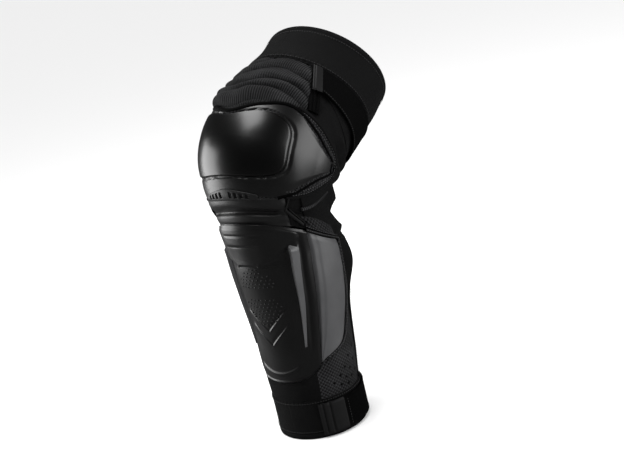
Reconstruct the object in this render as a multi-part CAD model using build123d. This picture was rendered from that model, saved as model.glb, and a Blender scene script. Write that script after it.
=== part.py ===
"""Knee-and-shin guard, moulded to a bent knee, standing on its calf hem.

Frame: +Z up the shin from the centre of the calf hem, -Y the front of the knee,
+X the outer (lateral) side of the leg. All sizes are in millimetres.

A place on the guard is given by its height along the leg's bent centre line, its
turn in degrees from the front of the leg (90 is the lateral side, 180 the back),
and its distance out from the guard's outer surface (negative is inwards).
"""

import os
from bisect import bisect_right
from math import cos, hypot, pi, radians, sin

from build123d import *

# the leg's centre line: straight shin, knee bend, straight thigh
SHIN_LENGTH = 217.0
KNEE_BEND = 55.0
BEND_RADIUS = 120.0

# the guard's outer surface: height, forward shift, half-depth, half-width
SECTIONS = [
    (0, 0, 52, 52),
    (46, 0, 52, 52),
    (85, -1, 53.5, 56),
    (130, -3, 56, 59),
    (170, -5, 61, 62),
    (215, -5, 65, 62),
    (245, 5, 64, 64),
    (270, 19, 70, 70),
    (300, 26, 77, 75),
    (328, 25, 80, 76),
    (355, 19, 79, 76),
    (390, 11, 77, 75),
    (420, 4, 75, 74),
    (446, 3, 74, 74),
]

# the two elastic cuffs and the grip bands inside them
CALF_CUFF_TOP = 46.0
CALF_HEM_TOP = 7.0
CALF_CUFF_WALL = 3.0
CALF_GRIP_INNER = 47.0
CALF_GRIP_WALL = 1.6
CALF_GRIP_HEIGHT = 30.0
THIGH_CUFF_BOTTOM = 390.4
THIGH_HEM_BOTTOM = 439.0
THIGH_HEM_TOP = 446.0
THIGH_CUFF_WALL = 3.0
THIGH_GRIP_INNER = 69.0
THIGH_GRIP_WALL = 1.2
THIGH_GRIP_HEIGHT = 26.0
THIGH_GRIP_SHIFT = 3.2

# layers, as (inside, outside) distances from the outer surface
SHELL = (-3.2, 0.0)
SHIN_SHELL = (-3.6, 0.0)
SHIN_FOAM = (-13.0, -3.9)
SHIN_LINER = (-14.6, -13.3)
WING_FOAM = (-8.4, -3.5)
KNEE_CARRIER = (-6.7, -3.8)
KNEE_FOAM = (-16.0, -7.1)
KNEE_LINER = (-17.5, -16.3)
TEXTILE = (-2.6, 0.0)
GATHER = (-6.0, -0.5)
BELLOWS = (-5.2, -1.2)
STRAP = (1.0, 3.0)
LOOP_PATCH = (0.3, 0.9)
HOOK_PATCH = (1.2, 1.8)
STRAP_TAB = (2.1, 4.2)
SHIN_CAP = (0.5, 2.6)
EDGE_BINDING = (-3.0, 0.8)

SEAM = 0.5            # gap left between neighbouring pieces
SURFACE_TOLERANCE = 0.02


def steepness(column):
    """Slope of a sections column at each height, flat where the column turns."""
    slopes = [0.0]
    for below, here, above in zip(SECTIONS, SECTIONS[1:], SECTIONS[2:]):
        rise_before = (here[column] - below[column]) / (here[0] - below[0])
        rise_after = (above[column] - here[column]) / (above[0] - here[0])
        turning = rise_before * rise_after <= 0
        mean = 0.0 if turning else 2 * rise_before * rise_after / (rise_before + rise_after)
        slopes.append(mean)
    return slopes + [0.0]


HEIGHTS = [station[0] for station in SECTIONS]
SLOPES = {column: steepness(column) for column in (1, 2, 3)}


def section(height):
    """Forward shift, half-depth and half-width of the outer surface at a height."""
    at = min(max(bisect_right(HEIGHTS, height) - 1, 0), len(SECTIONS) - 2)
    span = HEIGHTS[at + 1] - HEIGHTS[at]
    t = min(max((height - HEIGHTS[at]) / span, 0.0), 1.0)
    values = []
    for column in (1, 2, 3):
        low, high = SECTIONS[at][column], SECTIONS[at + 1][column]
        start, end = SLOPES[column][at], SLOPES[column][at + 1]
        level = low * (1 + 2 * t) * (1 - t) ** 2 + high * t * t * (3 - 2 * t)
        values.append(level + span * (start * t * (1 - t) ** 2 - end * t * t * (1 - t)))
    return values


def leg_line(height):
    """Centre, forward and upward directions of the leg at a height."""
    bend = radians(KNEE_BEND)
    arc = min(max((height - SHIN_LENGTH) / BEND_RADIUS, 0.0), bend)
    past_bend = max(height - SHIN_LENGTH - BEND_RADIUS * bend, 0.0)
    up = Vector(0, sin(arc), cos(arc))
    forward = Vector(0, -cos(arc), sin(arc))
    bent = Vector(0, BEND_RADIUS * (1 - cos(arc)), BEND_RADIUS * sin(arc))
    return Vector(0, 0, min(height, SHIN_LENGTH)) + bent + up * past_bend, forward, up


def on_leg(height, turn, out):
    """The point at a height and turn, a distance out from the outer surface."""
    shift, depth, width = section(height)
    angle = radians(turn)
    side_share, front_share = sin(angle) / width, cos(angle) / depth
    share = hypot(side_share, front_share)
    centre, forward, _ = leg_line(height)
    sideways = width * sin(angle) + out * side_share / share
    forwards = shift + depth * cos(angle) + out * front_share / share
    return centre + Vector(sideways, 0, 0) + forward * forwards


def along_edge(points, u):
    """Height and turn at a share u of the way along a smooth edge through the points."""
    last = len(points) - 1
    at = min(int(u * last), last - 1)
    t = u * last - at
    found = []
    for axis in (0, 1):
        low, high = points[at][axis], points[at + 1][axis]
        before = points[at - 1][axis] if at else 2 * low - high
        after = points[at + 2][axis] if at + 2 <= last else 2 * high - low
        start, end = (high - before) / 2, (after - low) / 2
        level = low * (1 + 2 * t) * (1 - t) ** 2 + high * t * t * (3 - 2 * t)
        found.append(level + start * t * (1 - t) ** 2 - end * t * t * (1 - t))
    return found


def panel(lower, upper, layer, across=9, along=7, crown=None):
    """A curved plate between two edges of (height, turn) points, with an optional crown."""

    def skin(distance, raised):
        grid = []
        for i in range(across):
            low, high = along_edge(lower, i / (across - 1)), along_edge(upper, i / (across - 1))
            row = []
            for j in range(along):
                v = j / (along - 1)
                height, turn = (a + (b - a) * v for a, b in zip(low, high))
                lift = crown(i / (across - 1), v) if raised and crown else 0.0
                row.append(on_leg(height, turn, distance + lift))
            grid.append(row)
        return Face.make_surface_from_array_of_points(
            grid, tol=SURFACE_TOLERANCE, min_deg=3, max_deg=3
        )

    inner, outer = skin(layer[0], False), skin(layer[1], True)
    sides = []
    for edge in inner.edges():
        facing = min(outer.edges(), key=lambda other: (other.center() - edge.center()).length)
        sides.append(Face.make_surface_from_curves(edge, facing))
    return Solid(Shell([inner, outer, *sides]))


def both_ways(half):
    """An edge drawn from the front round the lateral side, with its medial mirror."""
    return [(height, -turn) for height, turn in reversed(half) if turn] + half


def round_the_back(half):
    """An edge drawn from the lateral side to the back, carried on to the medial side."""
    return half + [(height, 360 - turn) for height, turn in reversed(half) if turn != 180]


def on_both_sides(name, solid):
    """The lateral piece and its mirrored medial twin."""
    return {f"{name}_lateral": solid, f"{name}_medial": mirror(solid, Plane.YZ)}


def tube(bottom, top, outer_radius, inner_radius, shift=0.0):
    """A straight ring round the leg between two heights on one straight stretch."""
    centre, forward, up = leg_line(bottom)
    plane = Plane(origin=centre + forward * shift, x_dir=(1, 0, 0), z_dir=up)
    ring = Circle(outer_radius) - Circle(inner_radius)
    return extrude(plane * ring, amount=top - bottom)


def cone_ring(bottom, top, wall, stations=4):
    """A ring that follows the outer surface between two heights on the thigh."""

    def lofted(out):
        wires = []
        for k in range(stations):
            height = bottom + (top - bottom) * k / (stations - 1)
            shift, depth, width = section(height)
            centre, forward, up = leg_line(height)
            plane = Plane(origin=centre + forward * shift, x_dir=(1, 0, 0), z_dir=up)
            wires.append((plane * Ellipse(width + out, depth + out)).wire())
        return Solid.make_loft(wires)

    return lofted(0.0) - lofted(-wall)


# --- calf cuff and its strap -------------------------------------------------

CALF_RADIUS = SECTIONS[0][2]
CALF_STRAP_LOW = 4.5
CALF_STRAP_HIGH = 42.0
CALF_TAB_TURNS = (40.0, 72.2)
CALF_STRAP_TURNS = (73.2, 180.0)
CALF_ANCHOR_TURNS = (181.0, 238.0)
CALF_PATCH_TURNS = (43.0, 69.0)
CALF_PATCH_MARGIN = 3.5


def band(low, high, turns, layer, across=7):
    """A flat band between two heights and two turns."""
    edges = [[(height, turn) for turn in turns] for height in (low, high)]
    return panel(edges[0], edges[1], layer, across=across, along=5)


def calf_cuff():
    inner = CALF_RADIUS - CALF_CUFF_WALL
    return {
        "calf_cuff_hem": tube(0, CALF_HEM_TOP, CALF_RADIUS, inner),
        "calf_cuff_band": tube(CALF_HEM_TOP + SEAM, CALF_CUFF_TOP, CALF_RADIUS, inner),
        "calf_grip_band": tube(
            0, CALF_GRIP_HEIGHT, CALF_GRIP_INNER + CALF_GRIP_WALL, CALF_GRIP_INNER
        ),
    }


def calf_strap():
    low, high = CALF_STRAP_LOW, CALF_STRAP_HIGH
    patch_low, patch_high = low + CALF_PATCH_MARGIN, high - CALF_PATCH_MARGIN
    return {
        "calf_loop_patch": band(patch_low, patch_high, CALF_PATCH_TURNS, LOOP_PATCH),
        "calf_hook_patch": band(patch_low, patch_high, CALF_PATCH_TURNS, HOOK_PATCH),
        "calf_strap_tab": band(low, high, CALF_TAB_TURNS, STRAP_TAB),
        "calf_strap": band(low, high, CALF_STRAP_TURNS, STRAP, across=13),
        "calf_strap_anchor": band(low, high, CALF_ANCHOR_TURNS, STRAP, across=9),
    }


# --- shin plate, wings and calf textile ---------------------------------------

SHIN_PLATE_LOW = both_ways([(71, 0), (72, 20), (76, 38), (86, 53)])
SHIN_PLATE_HIGH = both_ways([(247, 0), (246.5, 22), (244, 45), (238, 69)])
SHIN_PAD_LOW = both_ways([(77, 0), (79, 20), (84, 36), (93, 50)])
SHIN_PAD_HIGH = both_ways([(243, 0), (242, 22), (239, 44), (233, 65)])
WING_FRONT = [(89, 54.4), (126, 59.6), (163, 63.8), (199, 68.2), (236, 71.2)]
WING_REAR = [(93, 60), (106, 87), (138, 101), (178, 107.5), (214, 109)]


def shifted(edge, rise, turn_more):
    """The edge moved up by rise and round by turn_more degrees."""
    return [(height + rise, turn + turn_more) for height, turn in edge]


RIDGE_LIFT_LOW = 0.8
RIDGE_LIFT_HIGH = 4.8


def ridge_crown(u, v):
    """Roof-shaped crown of a shin ridge, higher towards its top."""
    return (RIDGE_LIFT_LOW + (RIDGE_LIFT_HIGH - RIDGE_LIFT_LOW) * v) * sin(pi * u)


def shin_plate():
    cap_low = both_ways([(214, 0), (213, 22), (210, 42), (206, 61)])
    cap_high = both_ways([(245.5, 0), (245, 22), (242.5, 44), (237, 65)])
    ridge = panel(
        [(112, 38), (112, 41)],
        [(203, 46), (203, 58)],
        (0.3, 1.2),
        across=7,
        along=9,
        crown=ridge_crown,
    )
    return {
        "shin_shell": panel(SHIN_PLATE_LOW, SHIN_PLATE_HIGH, SHIN_SHELL, 15, 11),
        "shin_cap": panel(cap_low, cap_high, SHIN_CAP, 13, 5),
        "shin_foam_pad": panel(SHIN_PAD_LOW, SHIN_PAD_HIGH, SHIN_FOAM, 13, 11),
        "shin_liner": panel(SHIN_PAD_LOW, SHIN_PAD_HIGH, SHIN_LINER, 13, 11),
        **on_both_sides("shin_ridge", ridge),
    }


def shin_wings():
    binding_front = shifted(WING_REAR, 0, 0.9)
    binding_rear = shifted(WING_REAR, 0, 5.0)
    foam_front = shifted(WING_FRONT, 0, 2.2)
    foam_rear = shifted(WING_REAR, 0, -3.0)
    wing = panel(WING_FRONT, WING_REAR, SHELL, 11, 7)
    pad = panel(foam_front, foam_rear, WING_FOAM, 11, 7)
    binding = panel(binding_front, binding_rear, EDGE_BINDING, 11, 4)
    return {
        **on_both_sides("shin_wing", wing),
        **on_both_sides("wing_foam_pad", pad),
        **on_both_sides("wing_binding", binding),
    }


def calf_textile():
    foot = CALF_CUFF_TOP + SEAM
    front_high = both_ways([(70.2, 0), (71, 18), (73.5, 33), (79, 46)])
    front_low = both_ways([(foot, 0), (foot, 18), (foot, 33), (foot, 46)])
    mesh_low = [(foot, turn) for turn in (47, 62, 80, 98, 115)]
    mesh_high = [(79, 47), (87, 62), (98, 84), (110, 97), (130, 107)]
    rear_low = round_the_back([(foot, 116), (foot, 137), (foot, 158), (foot, 180)])
    rear_high = round_the_back([(213, 116), (209, 137), (210, 158), (211, 180)])
    return {
        "lower_shin_panel": panel(front_low, front_high, TEXTILE, 9, 5),
        **on_both_sides("mesh_panel", panel(mesh_low, mesh_high, TEXTILE, 11, 7)),
        "calf_rear_panel": panel(rear_low, rear_high, TEXTILE, 15, 11),
    }


# --- knee cup -------------------------------------------------------------------

KNEE_SHELL_LOW = both_ways([(268.5, 0), (265.6, 28), (266.0, 54), (277, 79), (293, 103)])
KNEE_SHELL_HIGH = both_ways([(315, 0), (321.5, 28), (326.5, 52), (318.5, 79), (305, 104)])
KNEE_BASE_LOW = both_ways([(263.2, 0), (263.2, 28), (263.4, 56), (270, 86), (291, 111.5)])
KNEE_BASE_HIGH = both_ways([(320, 0), (326, 28), (331, 54), (325, 86), (306, 112.5)])


DOME_LIFT = 4.0
DOME_FULLNESS = 0.7   # below 1 the dome rises steeply from its rim


def dome_crown(u, v):
    """Domed crown of the knee cup, highest in the middle."""
    return DOME_LIFT * (sin(pi * u) * sin(pi * v)) ** DOME_FULLNESS


def knee_cup():
    dome_low = both_ways([(277, 0), (276.5, 20), (277, 42), (285, 58)])
    dome_high = both_ways([(313, 0), (315.5, 20), (319.5, 40), (312, 57)])
    flange_low = both_ways([(263.2, 0), (263.1, 13), (263, 26)])
    flange_high = both_ways([(267.9, 0), (266.6, 13), (265.2, 26)])
    pad_low = both_ways([(268, 0), (268, 30), (272, 60), (288, 88)])
    pad_high = both_ways([(316, 0), (321.5, 30), (324, 60), (309, 88)])
    return {
        "knee_shell": panel(KNEE_SHELL_LOW, KNEE_SHELL_HIGH, SHELL, 25, 9),
        "knee_dome": panel(dome_low, dome_high, (0.3, 1.0), 13, 9, crown=dome_crown),
        "knee_carrier": panel(KNEE_BASE_LOW, KNEE_BASE_HIGH, KNEE_CARRIER, 25, 9),
        "vent_flange": panel(flange_low, flange_high, SHELL, 11, 4),
        "knee_foam_pad": panel(pad_low, pad_high, KNEE_FOAM, 17, 7),
        "knee_liner": panel(pad_low, pad_high, KNEE_LINER, 17, 7),
    }


# --- stretch textile that bends with the knee -------------------------------------

TAPE_FRONT = [(332, 63.5), (389.6, 42)]
TAPE_REAR = [(334.5, 71.8), (389.6, 50.4)]


def stretch_textile():
    bellows_low = both_ways([(248.0, 0), (247.2, 30), (244.4, 58)])
    bellows_high = both_ways([(262.4, 0), (262.4, 30), (262.8, 56)])
    calf_edge = round_the_back(
        [(241, 74), (233, 87), (224, 102), (215.5, 118), (211.5, 135), (212, 158), (212.5, 180)]
    )
    fold_below = round_the_back(
        [(262.5, 77), (270, 93), (281, 106), (296.5, 118.5), (295, 136), (288, 158), (284, 180)]
    )
    fold_above = round_the_back(
        [(334.5, 73.2), (328, 88), (322.5, 103), (303, 119), (298, 136), (290, 158), (286, 180)]
    )
    thigh_edge = round_the_back(
        [(370, 59.8), (354, 82), (344, 103), (340, 122), (339, 140), (339, 160), (339, 180)]
    )
    gather_low = both_ways([(322, 0), (328, 28), (333, 54), (333.4, 62.2)])
    gather_high = both_ways([(389.6, 0), (389.6, 18.5), (389.6, 36), (389.6, 41)])
    tape = panel(TAPE_FRONT, TAPE_REAR, TEXTILE, 9, 5)
    return {
        "knee_bellows": panel(bellows_low, bellows_high, BELLOWS, 13, 5),
        "knee_gusset_lower": panel(calf_edge, fold_below, TEXTILE, 37, 9),
        "knee_gusset_upper": panel(fold_above, thigh_edge, TEXTILE, 37, 9),
        "gather_panel": panel(gather_low, gather_high, GATHER, 13, 9),
        **on_both_sides("gather_tape", tape),
    }


# --- thigh cuff and its strap ------------------------------------------------------

THIGH_STRAP_LOW = [(361, 62.4), (357, 84), (353, 106), (347, 130), (344, 156), (343, 180)]
THIGH_STRAP_HIGH = [(388, 51.6), (388, 78), (387, 104), (386, 130), (385, 156), (384, 180)]
THIGH_TAB_FRONT = [(358, 54.2), (388, 42.8)]
THIGH_TAB_REAR = [(361, 61.4), (388, 50.7)]
THIGH_PATCH_FRONT = [(363, 53.6), (385, 45.2)]
THIGH_PATCH_REAR = [(365, 58.4), (385, 50.4)]


def thigh_textile():
    rear_low = round_the_back(
        [(371, 59.4), (355, 82), (345, 103), (341, 122), (340, 140), (340, 160), (340, 180)]
    )
    rear_high = round_the_back([(389.8, turn) for turn in (52, 74, 96, 117, 138, 159, 180)])
    grip_low = THIGH_HEM_TOP - THIGH_GRIP_HEIGHT
    grip_outer = THIGH_GRIP_INNER + THIGH_GRIP_WALL
    return {
        "thigh_rear_panel": panel(rear_low, rear_high, TEXTILE, 31, 7),
        "thigh_cuff_band": cone_ring(THIGH_CUFF_BOTTOM, THIGH_HEM_BOTTOM - SEAM, THIGH_CUFF_WALL),
        "thigh_cuff_hem": cone_ring(THIGH_HEM_BOTTOM, THIGH_HEM_TOP, THIGH_CUFF_WALL),
        "thigh_grip_band": tube(
            grip_low, THIGH_HEM_TOP, grip_outer, THIGH_GRIP_INNER, THIGH_GRIP_SHIFT
        ),
    }


def thigh_strap():
    anchor_low = [(343, 181), (343, 203), (345, 226), (350, 250)]
    anchor_high = [(384, 181), (384, 203), (385, 226), (387, 250)]
    return {
        "thigh_loop_patch": panel(THIGH_PATCH_FRONT, THIGH_PATCH_REAR, LOOP_PATCH, 7, 5),
        "thigh_hook_patch": panel(THIGH_PATCH_FRONT, THIGH_PATCH_REAR, HOOK_PATCH, 7, 5),
        "thigh_strap_tab": panel(THIGH_TAB_FRONT, THIGH_TAB_REAR, STRAP_TAB, 7, 5),
        "thigh_strap": panel(THIGH_STRAP_LOW, THIGH_STRAP_HIGH, STRAP, 17, 7),
        "thigh_strap_anchor": panel(anchor_low, anchor_high, STRAP, 9, 7),
    }


def main():
    os.makedirs("parts", exist_ok=True)
    pieces = {
        **calf_cuff(),
        **calf_strap(),
        **shin_plate(),
        **shin_wings(),
        **calf_textile(),
        **knee_cup(),
        **stretch_textile(),
        **thigh_textile(),
        **thigh_strap(),
    }
    for name, solid in pieces.items():
        export_step(solid, f"parts/{name}.step")


main()
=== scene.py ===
import random
from bisect import bisect_right
from math import cos, exp, floor, hypot, pi, radians, sin, sqrt

import bmesh
import bpy
from mathutils import Matrix, Quaternion, Vector, noise


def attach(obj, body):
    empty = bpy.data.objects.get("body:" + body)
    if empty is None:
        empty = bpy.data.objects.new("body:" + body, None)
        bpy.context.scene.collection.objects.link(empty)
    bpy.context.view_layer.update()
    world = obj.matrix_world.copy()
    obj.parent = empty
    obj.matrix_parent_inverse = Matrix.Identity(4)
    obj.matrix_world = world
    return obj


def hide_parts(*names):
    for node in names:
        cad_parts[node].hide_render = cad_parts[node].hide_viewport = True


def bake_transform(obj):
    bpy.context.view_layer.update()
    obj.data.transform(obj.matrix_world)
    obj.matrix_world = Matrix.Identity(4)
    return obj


# Looks of a knee-and-shin guard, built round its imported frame. Object lengths are in
# metres. A place on the guard is its height along the leg's bent centre line and its
# distance out from the guard's outer surface, both in millimetres, and its turn in
# degrees from the front of the leg: 90 is the lateral side and 180 the back.

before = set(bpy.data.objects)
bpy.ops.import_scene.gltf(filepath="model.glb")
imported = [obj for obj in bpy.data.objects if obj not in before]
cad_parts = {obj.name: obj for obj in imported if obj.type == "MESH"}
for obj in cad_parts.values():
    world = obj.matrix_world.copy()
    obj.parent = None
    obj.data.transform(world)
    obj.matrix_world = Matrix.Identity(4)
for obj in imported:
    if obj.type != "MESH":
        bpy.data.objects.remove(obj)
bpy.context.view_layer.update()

MM = 0.001

# ---- the leg's form

SHIN_LENGTH = 217.0
KNEE_BEND = radians(55.0)
BEND_RADIUS = 120.0

# height, forward shift, half-depth and half-width of the outer surface
SECTIONS = [
    (0, 0, 52, 52),
    (46, 0, 52, 52),
    (85, -1, 53.5, 56),
    (130, -3, 56, 59),
    (170, -5, 61, 62),
    (215, -5, 65, 62),
    (245, 5, 64, 64),
    (270, 19, 70, 70),
    (300, 26, 77, 75),
    (328, 25, 80, 76),
    (355, 19, 79, 76),
    (390, 11, 77, 75),
    (420, 4, 75, 74),
    (446, 3, 74, 74),
]
HEIGHTS = [station[0] for station in SECTIONS]


def steepness(column):
    """Slope of a sections column at each height, flat where the column turns."""
    slopes = [0.0]
    for below, here, above in zip(SECTIONS, SECTIONS[1:], SECTIONS[2:]):
        before = (here[column] - below[column]) / (here[0] - below[0])
        after = (above[column] - here[column]) / (above[0] - here[0])
        turning = before * after <= 0
        slopes.append(0.0 if turning else 2 * before * after / (before + after))
    return slopes + [0.0]


SLOPES = {column: steepness(column) for column in (1, 2, 3)}


def ease(t):
    """Smooth step from 0 to 1."""
    t = min(max(t, 0.0), 1.0)
    return t * t * (3 - 2 * t)


def hermite(t, low, high, start, end):
    """Cubic from low to high with the slopes start and end."""
    level = low * (1 + 2 * t) * (1 - t) ** 2 + high * t * t * (3 - 2 * t)
    return level + start * t * (1 - t) ** 2 - end * t * t * (1 - t)


def section(height):
    """Forward shift, half-depth and half-width of the outer surface at a height."""
    at = min(max(bisect_right(HEIGHTS, height) - 1, 0), len(SECTIONS) - 2)
    span = HEIGHTS[at + 1] - HEIGHTS[at]
    t = min(max((height - HEIGHTS[at]) / span, 0.0), 1.0)
    return [
        hermite(
            t,
            SECTIONS[at][column],
            SECTIONS[at + 1][column],
            SLOPES[column][at] * span,
            SLOPES[column][at + 1] * span,
        )
        for column in (1, 2, 3)
    ]


def leg_line(height):
    """Centre, forward and upward directions of the leg at a height."""
    arc = min(max((height - SHIN_LENGTH) / BEND_RADIUS, 0.0), KNEE_BEND)
    past_bend = max(height - SHIN_LENGTH - BEND_RADIUS * KNEE_BEND, 0.0)
    up = Vector((0, sin(arc), cos(arc)))
    forward = Vector((0, -cos(arc), sin(arc)))
    bent = Vector((0, BEND_RADIUS * (1 - cos(arc)), BEND_RADIUS * sin(arc)))
    straight = Vector((0, 0, min(height, SHIN_LENGTH)))
    return straight + bent + up * past_bend, forward, up


def on_leg(height, turn, out=0.0):
    """The point, in metres, at a height and turn, a distance out from the surface."""
    shift, depth, width = section(height)
    angle = radians(turn)
    side_share, front_share = sin(angle) / width, cos(angle) / depth
    share = hypot(side_share, front_share)
    centre, forward, _ = leg_line(height)
    sideways = width * sin(angle) + out * side_share / share
    forwards = shift + depth * cos(angle) + out * front_share / share
    return (centre + Vector((sideways, 0, 0)) + forward * forwards) * MM


def leg_frame(height, turn, out=0.0):
    """Place on the leg with its sideways, upward and outward directions."""
    spot = on_leg(height, turn, out)
    sideways = (on_leg(height, turn + 0.5, out) - on_leg(height, turn - 0.5, out)).normalized()
    upward = (on_leg(height + 0.5, turn, out) - on_leg(height - 0.5, turn, out)).normalized()
    outward = sideways.cross(upward).normalized()
    return spot, sideways, outward.cross(sideways), outward


def along_edge(points, u):
    """Height and turn a share u of the way along a smooth edge through the points."""
    last = len(points) - 1
    at = min(max(int(u * last), 0), last - 1)
    t = u * last - at
    found = []
    for axis in (0, 1):
        low, high = points[at][axis], points[at + 1][axis]
        before = points[at - 1][axis] if at else 2 * low - high
        after = points[at + 2][axis] if at + 2 <= last else 2 * high - low
        found.append(hermite(t, low, high, (high - before) / 2, (after - low) / 2))
    return found


def both_ways(half):
    """An edge drawn from the front round the lateral side, with its medial mirror."""
    return [(height, -turn) for height, turn in reversed(half) if turn] + half


def round_the_back(half):
    """An edge drawn from the lateral side to the back, carried on to the medial side."""
    return half + [(height, 360 - turn) for height, turn in reversed(half) if turn != 180]


def on_side(edge, sign):
    """The edge on the lateral side, sign 1, or mirrored to the medial side, sign -1."""
    return [(height, turn * sign) for height, turn in edge]


def shifted(edge, rise, turn_more=0.0):
    """The edge moved up by rise and round by turn_more degrees."""
    return [(height + rise, turn + turn_more) for height, turn in edge]


def height_at(half, turn):
    """Height of a front edge at a turn to either side."""
    side = abs(turn)
    for (low, before), (high, after) in zip(half, half[1:]):
        if side <= after:
            return low + (high - low) * (side - before) / (after - before)
    return half[-1][0]


# ---- mesh helpers

def lay_on_leg(bm, place):
    """Moves a flat unit grid onto the leg; place(u, v) gives height, turn and out."""
    cloth = bm.loops.layers.uv.new("cloth")
    spread, outwards = {}, {}
    for vert in bm.verts:
        height, turn, out = place(vert.co.x + 0.5, vert.co.y + 0.5)
        girth = sum(section(height)[1:]) / 2
        spread[vert.index] = (radians(turn) * girth * MM, height * MM)
        vert.co = on_leg(height, turn, out)
        outwards[vert.index] = on_leg(height, turn, out + 1) - vert.co
    for face in bm.faces:
        for loop in face.loops:
            loop[cloth].uv = spread[loop.vert.index]
    bm.verts.ensure_lookup_table()
    middle = bm.verts[len(bm.verts) // 2]
    middle_face = middle.link_faces[0]
    middle_face.normal_update()
    if middle_face.normal.dot(outwards[middle.index]) < 0:
        bmesh.ops.reverse_faces(bm, faces=bm.faces)


def unit_grid(across, along):
    """A flat grid one unit wide, centred on the origin."""
    bm = bmesh.new()
    bmesh.ops.create_grid(bm, x_segments=across, y_segments=along, size=0.5)
    bm.verts.index_update()
    return bm


def ruled(lower, upper, out, across, along):
    """A grid on the leg between two edges; out(u, v, height, turn) is its distance out."""
    bm = unit_grid(across, along)

    def place(u, v):
        low, high = along_edge(lower, u), along_edge(upper, u)
        height = low[0] + (high[0] - low[0]) * v
        turn = low[1] + (high[1] - low[1]) * v
        return height, turn, out(u, v, height, turn)

    lay_on_leg(bm, place)
    return bm


def ring_edges(low, high):
    """The two edges of a cuff, once round the leg."""
    return [[(height, turn) for turn in range(0, 361, 30)] for height in (low, high)]


def hoop(low, high, out, across, along):
    """A closed ring of cloth round the leg between two heights."""
    bm = ruled(*ring_edges(low, high), out, across, along)
    bmesh.ops.remove_doubles(bm, verts=bm.verts, dist=1e-5)
    return bm


def shield(middle, half_turn, half_height, square, out, cells):
    """A grid on the leg with a rounded outline; out(reach, height, turn) lifts it."""
    bm = unit_grid(cells, cells)

    def place(u, v):
        x, y = 2 * u - 1, 2 * v - 1
        disc_x, disc_y = x * sqrt(1 - y * y / 2), y * sqrt(1 - x * x / 2)
        reach = hypot(disc_x, disc_y)
        if reach > 1e-6:
            way_x, way_y = disc_x / reach, disc_y / reach
        else:
            way_x, way_y = 1.0, 0.0
        edge = (abs(way_x) ** square + abs(way_y) ** square) ** (-1 / square)
        turn = half_turn * way_x * edge * reach
        height = middle + half_height(way_y, turn) * way_y * edge * reach
        return height, turn, out(reach, height, turn)

    lay_on_leg(bm, place)
    return bm


def wall(name, bm, material, thickness=0.0, bevel=0.0):
    """Turns a bmesh into a smooth object with a wall and rounded edges."""
    mesh = bpy.data.meshes.new(name)
    bm.to_mesh(mesh)
    bm.free()
    mesh.shade_smooth()
    mesh.materials.append(material)
    obj = bpy.data.objects.new(name, mesh)
    bpy.context.scene.collection.objects.link(obj)
    if thickness:
        solid = obj.modifiers.new("wall", "SOLIDIFY")
        solid.thickness = thickness * MM
        solid.offset = -1
        solid.use_quality_normals = True
    if bevel:
        edge = obj.modifiers.new("edge", "BEVEL")
        edge.width = bevel * MM
        edge.segments = 3
        edge.limit_method = "ANGLE"
        edge.angle_limit = radians(50)
        edge.use_clamp_overlap = True
    return obj


def mount(obj, body, slot, *replaced):
    """Rides a piece on its body and hides the nodes it stands for; its material slot is not used."""
    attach(obj, body)
    if replaced:
        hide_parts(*replaced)
    return obj


def crossing(bodies, lean, first, last):
    """Where cloth that crosses the knee starts and stops turning: two planes, in mm."""
    way = Vector((0, sin(radians(lean)), cos(radians(lean)))) * MM
    return bodies, way * first, way * last


UNDER_KNEE = crossing(("shin", "knee"), 20, 226.5, 249.6)
BEHIND_THIGH = crossing(("knee", "thigh"), 70, 146.0, 166.0)
OVER_KNEE = crossing(("knee", "thigh"), 55, 225.2, 268.0)
BESIDE_KNEE = crossing(("knee", "thigh"), 55, 225.2, 250.0)


def stretch(obj, span, slot, *replaced):
    """Bakes a piece's placement into its mesh and hides the nodes it stands for; the span across the knee
    is not used.
    """
    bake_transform(obj)
    if replaced:
        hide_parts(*replaced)
    return obj


def travelled(spots):
    """Length of the path through the spots."""
    return sum((b - a).length for a, b in zip(spots, spots[1:]))


def cut_size(lower, upper, steps=24):
    """Width and length of the cloth cut between two edges, in metres."""
    def run(edge):
        return travelled([on_leg(*along_edge(edge, k / steps)) for k in range(steps + 1)])

    def rise(u):
        low, high = along_edge(lower, u), along_edge(upper, u)
        rungs = [[a + (b - a) * k / 8 for a, b in zip(low, high)] for k in range(9)]
        return travelled([on_leg(*rung) for rung in rungs])

    rises = [rise(k / 6) for k in range(7)]
    return (run(lower) + run(upper)) / 2, sum(rises) / len(rises)


CALF_SPARE = 1.05
BEHIND_KNEE_SPARE = 1.15
BEHIND_THIGH_SPARE = 1.12
GATHER_SPARE = 1.25


def cut(obj, lower, upper, held="stretched", spare=1.0):
    """Works out the width and length of the cloth cut between two edges and returns the piece unchanged;
    the spare length for folds is not used.
    """
    width, length = cut_size(lower, upper)
    return obj


# ---- shader effects

def effect(name, inputs, outputs):
    """An empty node group with named float inputs and outputs."""
    group = bpy.data.node_groups.new(name, "ShaderNodeTree")
    for label, value in inputs.items():
        socket = group.interface.new_socket(label, in_out="INPUT", socket_type="NodeSocketFloat")
        socket.default_value = value
    for label in outputs:
        group.interface.new_socket(label, in_out="OUTPUT", socket_type="NodeSocketFloat")
    return group, group.nodes.new("NodeGroupInput"), group.nodes.new("NodeGroupOutput")


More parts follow.
